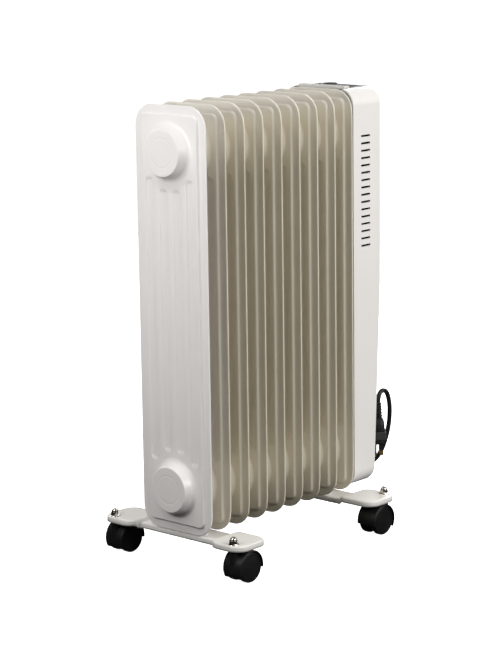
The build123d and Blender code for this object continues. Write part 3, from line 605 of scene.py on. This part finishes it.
def outer_hub(reach, ringed):
    """(radius, height) of a closed hub, from its filleted foot to its cap, ringed or plain."""
    slope = (HUB_BASE - HUB_TIP) / (fin_pitch / 2 - SEAM - PANEL_RISE)
    tip = HUB_BASE - slope * reach
    foot = [(HUB_BASE + HUB_FILLET + 0.6 * MM, -0.5 * MM)]
    foot += [(HUB_BASE + HUB_FILLET * (1 - sin(t)), HUB_FILLET * (1 - cos(t)))
             for t in (radians(90) * k / 6 for k in range(7))]
    foot = [(r - slope * max(h, 0.0), h) for r, h in foot]
    edge = HUB_EDGE
    shoulder = [(tip - edge * (1 - cos(t)), reach - edge * (1 - sin(t)))
                for t in (radians(90) * k / 4 for k in range(5))]
    cap = []
    if ringed:
        ring, groove = CAP_RING, reach - CAP_GROOVE
        cap = [(tip - 2 * edge, reach), (ring + 1.5 * MM, reach), (ring + 1.2 * MM, reach), (ring, groove),
               (ring - 1.0 * MM, groove), (ring - 2.2 * MM, reach), (ring - 2.5 * MM, reach)]
    return foot + shoulder + cap + [(0.0, reach)]


def make_fin(node, number):
    """One fin: two pressed sheets, the welded rim between them, and half of each neighbouring hub."""
    low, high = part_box(node)
    x = low.x + fin_pitch / 2
    first, last = number == 0, number == len(FIN_NODES) - 1
    detail = 2 if first else 1
    shell = Shell()
    for side in (-1, 1):
        table = sheet_points(side, detail)
        rows = [[(x + dx, y, fin_middle_z + z) for dx, y, z in row] for row in table]
        shell.grid(rows, flip=side > 0)
    edge = [(y, z) for _, y, z in outline_of(table)]
    rim = []
    for angle in [-90 + 180 * k / 6 for k in range(7)]:
        bulge = SEAM * cos(radians(angle))
        rim_x = x + SEAM * sin(radians(angle))
        rim.append([Vector((rim_x, y, fin_middle_z + z)) + bulge * outward(y, z) for y, z in edge])
    shell.grid(rim, close_columns=True, flip=True)
    for side in (-1, 1):
        closed = (first and side < 0) or (last and side > 0)
        reach = fin_pitch / 2 if side < 0 or not last else high.x - x
        reach -= SEAM + PANEL_RISE
        profile = outer_hub(reach, first) if closed else inner_hub(reach)
        for z in (-HUB_Z, HUB_Z):
            shell.lathe(profile, (x + side * (SEAM + PANEL_RISE), 0, fin_middle_z + z), (side, 0, 0), 72)
    add_piece(f"{node}_pressing", shell.verts, shell.faces, "fin_enamel", "root", [node],
              "end_enamel" if first else "fin_enamel", 50)


for number, node in enumerate(FIN_NODES):
    make_fin(node, number)


# ---------------------------------------------------------------- feet
FOOT_ROLL = 2.4 * MM
FOOT_SHEET = 1.6 * MM
STRIP_HALF = 19.0 * MM
LOBE_START = 70.0 * MM
LOBE_CORNER = 19.0 * MM
LOBE_RIM = 8.0 * MM
LOBE_OUT = 39.0 * MM         # a lobe's reach from the strip's middle, towards the end of the heater
LOBE_IN = 23.0 * MM          # and towards its middle
FILLET = 8.0 * MM            # between the strip and a lobe


def foot_edges(end):
    """Two functions of y for the foot's lowest and highest x, and its reach along Y."""
    low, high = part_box(f"foot_{end}")
    middle = low.x + LOBE_OUT if end == "front" else high.x - LOBE_OUT
    reach_y = high.y

    def edge(y, wide):
        """Distance of the outline from the strip's middle on the side where the lobe reaches wide."""
        y = abs(y)
        step = wide - STRIP_HALF
        corner = min(LOBE_CORNER, step)
        if y <= LOBE_START - FILLET:
            return STRIP_HALF
        if step < 6 * MM:
            rise = smooth((y - LOBE_START + FILLET) / (2 * FILLET)) * step
            inward = max(0.0, y - (reach_y - LOBE_CORNER))
            return STRIP_HALF + rise - (LOBE_CORNER - sqrt(max(0.0, LOBE_CORNER ** 2 - inward ** 2)))
        if y <= LOBE_START:
            t = (y - LOBE_START + FILLET) / FILLET
            return STRIP_HALF + FILLET * (1 - sqrt(max(0.0, 1 - t * t)))
        from_start = y - LOBE_START
        side = wide
        if from_start < corner:
            side = wide - corner + sqrt(max(0.0, corner ** 2 - (corner - from_start) ** 2))
            side = max(side, STRIP_HALF + FILLET)
        inward = max(0.0, y - (reach_y - LOBE_CORNER))
        return side - (LOBE_CORNER - sqrt(max(0.0, LOBE_CORNER ** 2 - inward ** 2)))

    wide_low, wide_high = (LOBE_OUT, LOBE_IN) if end == "front" else (LOBE_IN, LOBE_OUT)
    return (lambda y: middle - edge(y, wide_low)), (lambda y: middle + edge(y, wide_high)), reach_y


def foot_top(y, strip_z, lobe_z):
    """Height of the pressing's top over its length: the lobes step up from the strip."""
    return strip_z + (lobe_z - strip_z) * float(smooth((abs(y) - LOBE_START + 3 * MM) / (7 * MM)))


def make_foot(end):
    """A pressed foot: its top with rolled edges, and a skirt round it, thickened to the sheet."""
    low_edge, high_edge, reach_y = foot_edges(end)
    lobe_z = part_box(f"foot_{end}")[1].z
    strip_z = fin_low.z
    inner_ys = stations(reach_y, [(LOBE_START - 12 * MM, LOBE_START + 10 * MM, 18)], 5 * MM)
    near_end = [reach_y - LOBE_CORNER + LOBE_CORNER * sin(pi / 2 * k / 14) for k in range(1, 15)]
    half = [v for v in inner_ys if v < reach_y - LOBE_CORNER] + near_end
    ys = [-v for v in reversed(half[1:])] + half
    roll = [FOOT_ROLL * (1 - cos(radians(a))) for a in (0, 22, 45, 67, 90)]
    outline = [Vector((low_edge(y), y)) for y in ys] + [Vector((high_edge(y), y)) for y in reversed(ys)]
    points = np.array([tuple(p) for p in outline])
    following = np.roll(points, -1, axis=0)

    def distance(x, y):
        """Shortest distance from a point to the outline."""
        run = following - points
        length = np.maximum((run ** 2).sum(1), 1e-14)
        t = np.clip((((x, y) - points) * run).sum(1) / length, 0, 1)
        nearest = points + run * t[:, None]
        return float(np.sqrt((((x, y) - nearest) ** 2).sum(1)).min())

    rows = []
    for y in ys:
        a, b = low_edge(y), high_edge(y)
        inner = [a + FOOT_ROLL + (b - a - 2 * FOOT_ROLL) * k / 16 for k in range(1, 16)]
        xs = [a + d for d in roll] + inner + [b - d for d in reversed(roll)]
        row = []
        for x in xs:
            gap = min(FOOT_ROLL, distance(x, y))
            drop = FOOT_ROLL - sqrt(max(0.0, FOOT_ROLL ** 2 - (FOOT_ROLL - gap) ** 2))
            row.append(Vector((x, y, foot_top(y, strip_z, lobe_z) - drop)))
        rows.append(row)
    shell = Shell()
    shell.grid(rows)
    skirts = []
    for depth in (0.0, 0.5, 1.0):
        ring = []
        for p in outline_of(rows):
            top = foot_top(p.y, strip_z, lobe_z)
            bottom = top - LOBE_RIM
            start = top - FOOT_ROLL
            ring.append(Vector((p.x, p.y, start + (bottom - start) * depth)))
        skirts.append(ring)
    shell.grid(skirts, close_columns=True, flip=True)
    piece = add_piece(f"foot_{end}_pressing", shell.verts, shell.faces, "foot_enamel", "root",
                      [f"foot_{end}"], sharp=60)
    weld = piece.modifiers.new("weld", "WELD")
    weld.merge_threshold = 0.00002
    solid = piece.modifiers.new("sheet", "SOLIDIFY")
    solid.thickness = FOOT_SHEET
    solid.offset = -1


for end in ("front", "rear"):
    make_foot(end)


# ---------------------------------------------------------------- casters and their nuts
HOOD_R = 23.8 * MM
HOOD_SHEET = 2.0 * MM
HOOD_ROUND = 1.6 * MM
TRAIL = 18.5 * MM            # from a stem's axis to its axle
SOCKET_R = 6.0 * MM
SOCKET_DROP = 6.0 * MM       # from the axle down to the socket's end
WASHER_R = 7.2 * MM
NUT_CORNER_R = 6.0 * MM      # from a nut's axis to its hexagon's corners
NUT_HEIGHT = 6.0 * MM        # of the hexagon, from the foot


def make_wheel(node, body, side):
    """A moulded twin-caster wheel: rounded tread, a groove round its slightly domed face, a rim lip."""
    low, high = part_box(node)
    middle = (low + high) / 2
    width = high.y - low.y
    radius = (high.z - low.z) / 2
    profile = [(0.0, 0.0), (radius - 5 * MM, 0.0), (radius - 4 * MM, 0.6 * MM)]
    profile += arc(radius - 1.5 * MM, 1.5 * MM, 1.5 * MM, -90, 0, 4)
    profile += arc(radius - 1.8 * MM, width - 1.8 * MM, 1.8 * MM, 0, 90, 5)
    groove = radius - 2.6 * MM
    groove_floor = width - 0.5 * MM
    profile += [(groove + 0.2 * MM, width - 0.05 * MM), (groove, groove_floor),
                (groove - 0.6 * MM, groove_floor)]
    dome_r, dome = groove - 0.9 * MM, 0.5 * MM
    profile += [(dome_r * cos(radians(a)), width - dome + dome * sin(radians(a))) for a in (0, 30, 60)]
    profile.append((0.0, width))
    shell = Shell()
    start = low.y if side > 0 else high.y
    shell.lathe(profile, (middle.x, start, middle.z), (0, side, 0), 64)
    add_piece(f"{node}_moulding", shell.verts, shell.faces, "wheel_black", body, [node], sharp=32)


def make_hood(name, body, direction):
    """The caster's hood: a round shell over both wheels, a web between them and the stem's socket."""
    low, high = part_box(f"{name}_hood")
    wheel_low, wheel_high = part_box(f"{name}_wheel_right")
    axle = (wheel_low + wheel_high) / 2
    axle.y = (low.y + high.y) / 2
    half = (high.y - low.y) / 2
    stem_x = axle.x - direction * TRAIL
    inner = HOOD_R - HOOD_SHEET
    section = [(inner, half), (inner, half - 0.4 * MM), (inner, -half + 0.4 * MM), (inner, -half)]
    core_r, core_y = HOOD_R - HOOD_ROUND, half - HOOD_ROUND
    angles = [radians(a) for a in (0, 22, 45, 67, 90)]
    section += [(core_r + HOOD_ROUND * sin(a), -core_y - HOOD_ROUND * cos(a)) for a in angles]
    section += [(core_r + HOOD_ROUND * cos(a), core_y + HOOD_ROUND * sin(a)) for a in angles]
    stem_end, far_end = radians(180 + 31), radians(-9)
    steps = 46
    rows = []
    for k in range(steps + 1):
        angle = stem_end + (far_end - stem_end) * k / steps
        rows.append([axle + Vector((direction * r * cos(angle), s, r * sin(angle))) for r, s in section])
    shell = Shell()
    shell.grid(rows, close_columns=True, flip=direction > 0)
    for row, backwards in ((rows[0], direction < 0), (rows[-1], direction > 0)):
        shell.cap(row, backwards)
    web_half = 2.5 * MM
    web_low = -7.0 * MM
    rim = [(HOOD_R - 1.0 * MM) * Vector((direction * cos(a), sin(a)))
           for a in (radians(200 - 220 * k / 30) for k in range(31))]
    rim = [p if p.y > web_low else Vector((p.x, web_low)) for p in rim]
    sides = [[axle + Vector((p.x, s, p.y)) for p in rim] for s in (-web_half, web_half)]
    shell.grid(sides, close_columns=True, flip=direction < 0)
    for row, backwards in ((sides[0], direction > 0), (sides[1], direction < 0)):
        shell.cap(row, backwards)
    socket_low = axle.z - SOCKET_DROP
    tall = high.z - socket_low
    socket = [(0.0, 0.0), (SOCKET_R - 0.8 * MM, 0.0), (SOCKET_R, 0.8 * MM), (SOCKET_R, tall - 0.9 * MM),
              (SOCKET_R - 0.9 * MM, tall), (0.0, tall)]
    shell.lathe(socket, (stem_x, axle.y, socket_low), (0, 0, 1), 32)
    boss = [(0.0, 0.0), (5.0 * MM, 0.0), (5.0 * MM, 11.8 * MM), (0.0, 11.8 * MM)]
    shell.lathe(boss, (axle.x, axle.y - 5.9 * MM, axle.z), (0, 1, 0), 32)
    add_piece(f"{name}_hood_moulding", shell.verts, shell.faces, "caster_black", body, [f"{name}_hood"],
              sharp=40)


for end, direction in (("front", 1), ("rear", -1)):
    for label in ("right", "left"):
        caster = f"caster_{end}_{label}"
        make_hood(caster, caster, direction)
        make_wheel(f"{caster}_wheel_right", f"{caster}_wheel_right_body", -1)
        make_wheel(f"{caster}_wheel_left", f"{caster}_wheel_left_body", 1)


def make_dome_nuts():
    """Four dome nuts, each on a pressed washer: a hexagon with a chamfered crown and a polished cap."""
    low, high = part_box("dome_nuts")
    shell = Shell()
    for x in (low.x + WASHER_R, high.x - WASHER_R):
        for y in (low.y + WASHER_R, high.y - WASHER_R):
            base = low.z
            washer = [(0.0, 0.0), (WASHER_R - 0.3 * MM, 0.0), (WASHER_R, 0.35 * MM),
                      (WASHER_R - 0.3 * MM, 1.0 * MM), (5.6 * MM, 1.4 * MM), (0.0, 1.4 * MM)]
            shell.lathe(washer, (x, y, base), (0, 0, 1), 40)
            rings = []
            for height, limit in ((1.3, 6.0), (1.5, 6.9), (5.2, 6.9), (6.0, 5.6)):
                ring = []
                for k in range(48):
                    angle = 2 * pi * k / 48
                    sector = (angle + pi / 6) % (pi / 3) - pi / 6
                    radius = min(NUT_CORNER_R * cos(pi / 6) / cos(sector), limit * MM)
                    place = (x + radius * cos(angle), y + radius * sin(angle), base + height * MM)
                    ring.append(Vector(place))
                rings.append(ring)
            shell.grid(rings, close_columns=True)
            cap_r = 4.8 * MM
            dome = [(5.4 * MM, 5.95 * MM)] + arc(0.0, NUT_HEIGHT, cap_r, 0, 90, 10)[:-1]
            shell.lathe(dome + [(0.0, NUT_HEIGHT + cap_r)], (x, y, base), (0, 0, 1), 40)
    add_piece("dome_nuts_turned", shell.verts, shell.faces, "nut_chrome", "root", ["dome_nuts"], sharp=25)


make_dome_nuts()


# ---------------------------------------------------------------- cord, its gland and its plug
CORD_R = 3.4 * MM
hank_low, hank_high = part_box("cord_hank")
coil_y = (hank_low.y + hank_high.y) / 2
COIL_R = (hank_high.y - hank_low.y) / 2 - CORD_R
layer_in = hank_low.x + CORD_R
layer_out = hank_high.x - CORD_R
run_top = hank_high.z - CORD_R - COIL_R
run_low = hank_low.z + CORD_R + COIL_R
TURN_PITCH = 7.0 * MM
BEND_STEPS = 8               # points round each bend of the coil


def mm(*points):
    """Points given in millimetres, in metres."""
    return [Vector(p) * MM for p in points]


# The free ends of the cord's route.  The coil between them is worked out by wound().
lead_route = mm((200.67, 34.0, 260.0), (199.6, 34.2, 247.5), (196.6, 34.0, 235.0), (195.5, 33.9, 222.0))
tail_route = mm((202.5, 34.0, 102.0), (202.7, 34.0, 87.6), (204.2, 24.6, 71.4), (208.5, 8.4, 62.0),
                (214.6, -10.4, 62.0), (221.6, -26.6, 71.4), (228.2, -36.0, 87.6), (233.4, -42.3, 113.5),
                (235.0, -45.6, 137.5), (233.9, -46.5, 160.5), (227.1, -46.6, 179.5), (215.5, -46.2, 183.5),
                (207.0, -46.4, 176.0), (205.5, -47.0, 166.5))


def wound():
    """Points of the coil: three upright turns, in the inner layer and then in the outer one."""
    outer, inner = COIL_R, COIL_R - TURN_PITCH
    turns = [(outer, outer, inner, layer_in, layer_in), (inner, inner, inner, layer_in, layer_out),
             (inner, outer, outer, layer_out, layer_out)]
    stretch = 1 / cos(pi / BEND_STEPS / 2)
    route = []
    for start, side, finish, x_start, x_finish in turns:
        for share in (0.08, 0.36, 0.64, 0.92):
            route.append(Vector((x_start, coil_y + start, run_top + (run_low - run_top) * share)))
        for k in range(BEND_STEPS):
            t = (k + 0.5) / BEND_STEPS
            radius = (start + (side - start) * t) * stretch
            drop, across = radius * sin(-pi * t), radius * cos(-pi * t)
            route.append(Vector((x_start, coil_y + across, run_low + drop)))
        for share in (0.08, 0.36, 0.64, 0.92):
            route.append(Vector((x_start, coil_y - side, run_low + (run_top - run_low) * share)))
        for k in range(BEND_STEPS):
            t = (k + 0.5) / BEND_STEPS
            radius = (side + (finish - side) * t) * stretch
            x = x_start + (x_finish - x_start) * float(smooth(t))
            rise, across = radius * sin(pi - pi * t), radius * cos(pi - pi * t)
            route.append(Vector((x, coil_y + across, run_top + rise)))
    for share in (0.08, 0.5, 0.9):
        route.append(Vector((layer_out, coil_y + outer, run_top + (run_low - run_top) * share)))
    return route


def make_cord(route):
    """The whole mains cord as one round tube along its route."""
    curve = bpy.data.curves.new("mains_cord", "CURVE")
    curve.dimensions = "3D"
    spline = curve.splines.new("NURBS")
    spline.points.add(len(route) - 1)
    for point, place in zip(spline.points, route):
        point.co = (*place, 1)
    spline.order_u = 3
    spline.use_endpoint_u = True
    spline.resolution_u = 8
    curve.bevel_depth = CORD_R
    curve.bevel_resolution = 7
    curve.use_fill_caps = True
    curve.materials.append(MATERIALS["cord_black"])
    cord = bpy.data.objects.new("mains_cord", curve)
    SCENE.collection.objects.link(cord)
    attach(cord, "root")
    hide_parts("cord_lead", "cord_hank", "cord_tail")
    return cord


mains_cord = make_cord(lead_route + wound() + tail_route)

PLUG_TURN = radians(41.5)
PLUG_HALF = (12.0 * MM, 9.5 * MM)      # half its width across the broad side, half its depth
plug_x, plug_y = tail_route[-1].xy
plug_across = Vector((cos(PLUG_TURN), sin(PLUG_TURN), 0))
plug_deep = Vector((-sin(PLUG_TURN), cos(PLUG_TURN), 0))


def make_strain_relief():
    """A tapered sleeve with five broken rings, each notched on opposite sides in turn."""
    low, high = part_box("plug_strain_relief")
    length = high.z - low.z
    shell = Shell()
    shell.lathe([(0.0, 0.0), (3.6 * MM, 0.0), (4.2 * MM, 0.6 * MM), (5.0 * MM, length), (0.0, length)],
                (plug_x, plug_y, high.z), (0, 0, -1), 40)
    for ring in range(5):
        start = (0.8 + 4.4 * ring) * MM
        outer = (4.9 + 0.36 * ring) * MM
        thick = 2.7 * MM
        lip = 0.5 * MM
        root = 3.9 * MM
        section = [(root, 0.0), (outer - lip, 0.0), (outer, lip), (outer, thick - lip), (outer - lip, thick),
                   (root, thick)]
        gap = radians(34)
        for half in (0, 1):
            begin = ring % 2 * pi / 2 + half * pi + gap / 2
            rows = []
            for k in range(17):
                angle = begin + (pi - gap) * k / 16
                ray = plug_across * cos(angle) + plug_deep * sin(angle)
                rows.append([Vector((plug_x, plug_y, high.z - start - h)) + ray * r for r, h in section])
            shell.grid(rows, close_columns=True, flip=True)
            for row, backwards in ((rows[0], True), (rows[-1], False)):
                shell.cap(row, backwards)
    return add_piece("plug_relief_moulding", shell.verts, shell.faces, "cord_black", "root",
                     ["plug_strain_relief"], sharp=30)


def make_plug():
    """The plug's moulded body: a tapered shoulder, then a rounded rectangular block with a face plate."""
    low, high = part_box("plug_body")
    length = high.z - low.z
    # Share of the length from the top, then the shares of the full width and depth at that level.
    levels = [(0.0, 0.40, 0.50), (0.02, 0.52, 0.62), (0.08, 0.72, 0.80), (0.18, 0.90, 0.94),
              (0.30, 0.98, 1.0), (0.55, 1.0, 1.0), (0.80, 0.97, 0.98), (0.86, 0.97, 0.98),
              (0.88, 1.0, 1.0), (0.96, 1.0, 1.0), (1.0, 0.94, 0.93)]
    half_across, half_deep = PLUG_HALF
    power = 2 / 3.6          # makes each level a rounded rectangle
    rings = []
    for share, wide, deep in levels:
        ring = []
        for k in range(56):
            angle = 2 * pi * k / 56
            c, s = cos(angle), sin(angle)
            u = half_across * wide * (abs(c) ** power) * (1 if c > 0 else -1)
            v = half_deep * deep * (abs(s) ** power) * (1 if s > 0 else -1)
            middle = Vector((plug_x, plug_y, high.z - length * share))
            ring.append(middle + plug_across * u + plug_deep * v)
        rings.append(ring)
    shell = Shell()
    shell.grid(rings, close_columns=True, flip=True)
    for row, backwards in ((rings[0], False), (rings[-1], True)):
        shell.cap(row, backwards)
    return add_piece("plug_moulding", shell.verts, shell.faces, "plug_black", "root", ["plug_body"],
                     sharp=34)


GLAND_Z = 292.0 * MM
HOUSING_LEAN = 0.039         # how far the housing's outer face leans inwards per unit of drop
BOOT_RIBS = 6


def make_gland():
    """The cord's gland on the housing: a flange, a turned body, and a ribbed boot that points down."""
    centre = Vector((lead_route[0].x, lead_route[0].y, GLAND_Z))
    shell = Shell()
    body = [(0.0, -16.0 * MM), (7.6 * MM, -16.0 * MM), (7.6 * MM, -9.2 * MM), (10.4 * MM, -9.2 * MM),
            (11.0 * MM, -8.7 * MM), (11.0 * MM, -7.8 * MM), (10.4 * MM, -7.3 * MM), (8.2 * MM, -7.0 * MM),
            (7.7 * MM, -6.0 * MM)]
    body += arc(0.0, 0.0, 7.7 * MM, 0, 90, 9)[:-1] + [(0.0, 7.7 * MM)]
    shell.lathe(body, centre, (1, 0, -HOUSING_LEAN), 48)
    boot = [(0.0, -2.0 * MM), (7.0 * MM, -2.0 * MM)]
    length = GLAND_Z - lead_route[0].z
    for k in range(BOOT_RIBS):
        t = (k + 1.0) / (BOOT_RIBS + 0.6)
        radius = 7.4 * MM - 2.6 * MM * t
        base = length * t
        boot += [(radius, base - 1.5 * MM), (radius, base + 0.6 * MM), (radius - 0.9 * MM, base + 1.1 * MM),
                 (radius - 0.9 * MM, base + 2.2 * MM)]
    boot += [(4.6 * MM, length - 0.4 * MM), (4.2 * MM, length), (0.0, length)]
    shell.lathe(boot, centre, (0, 0, -1), 48)
    return add_piece("gland_moulding", shell.verts, shell.faces, "cord_black", "root", ["cord_gland"],
                     sharp=35)


relief_piece = make_strain_relief()
plug_piece = make_plug()
gland_piece = make_gland()

for node, obj in frame["nodes"].items():
    slot_name = next(s["material_slot"] for s in frame["record"]["subparts"] if s["node"] == node)
    obj.data.materials.clear()
    obj.data.materials.append(MATERIALS[slot_name])
